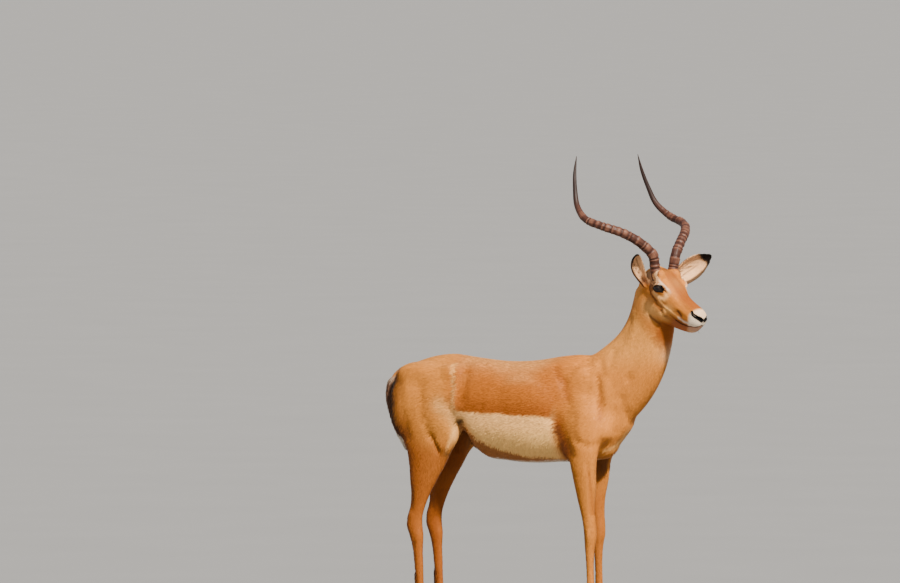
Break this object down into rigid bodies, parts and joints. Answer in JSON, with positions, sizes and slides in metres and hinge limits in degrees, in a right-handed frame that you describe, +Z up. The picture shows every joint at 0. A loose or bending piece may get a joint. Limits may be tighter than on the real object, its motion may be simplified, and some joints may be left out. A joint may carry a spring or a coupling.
{
  "type": "impala antelope",
  "caption": "Standing male impala, life size, head turned to its right and lyre-shaped horns, a still model resting on its hooves.",
  "frame": {"origin": "middle of the footprint of the whole animal's box, on the ground under the hooves", "axes": "+X towards the chest and nose, +Y towards the animal's left, +Z up"},
  "size_m": [1.1333, 0.396, 1.4852],
  "materials": {
    "coat_red_brown": "short sleek red-brown coat of the back",
    "coat_tan": "short sleek tan coat of neck, head and legs",
    "coat_white": "longer soft white hair",
    "horn": "dark ridged horn, smooth towards the tips",
    "hoof": "black horn, satin",
    "eye": "wet dark eye"
  },
  "bodies": {
    "root": {"ear_left": "coat_tan", "ear_right": "coat_tan", "eye_left": "eye", "eye_right": "eye", "foreleg_lower_left": "coat_tan", "foreleg_lower_right": "coat_tan", "foreleg_upper_left": "coat_tan", "foreleg_upper_right": "coat_tan", "head": "coat_tan", "hindleg_lower_left": "coat_tan", "hindleg_lower_right": "coat_tan", "hindleg_upper_left": "coat_tan", "hindleg_upper_right": "coat_tan", "hoof_fore_left_inner": "hoof", "hoof_fore_left_outer": "hoof", "hoof_fore_right_inner": "hoof", "hoof_fore_right_outer": "hoof", "hoof_hind_left_inner": "hoof", "hoof_hind_left_outer": "hoof", "hoof_hind_right_inner": "hoof", "hoof_hind_right_outer": "hoof", "horn_left": "horn", "horn_right": "horn", "neck": "coat_tan", "tail": "coat_white", "trunk": "coat_red_brown"}
  },
  "joints": []
}
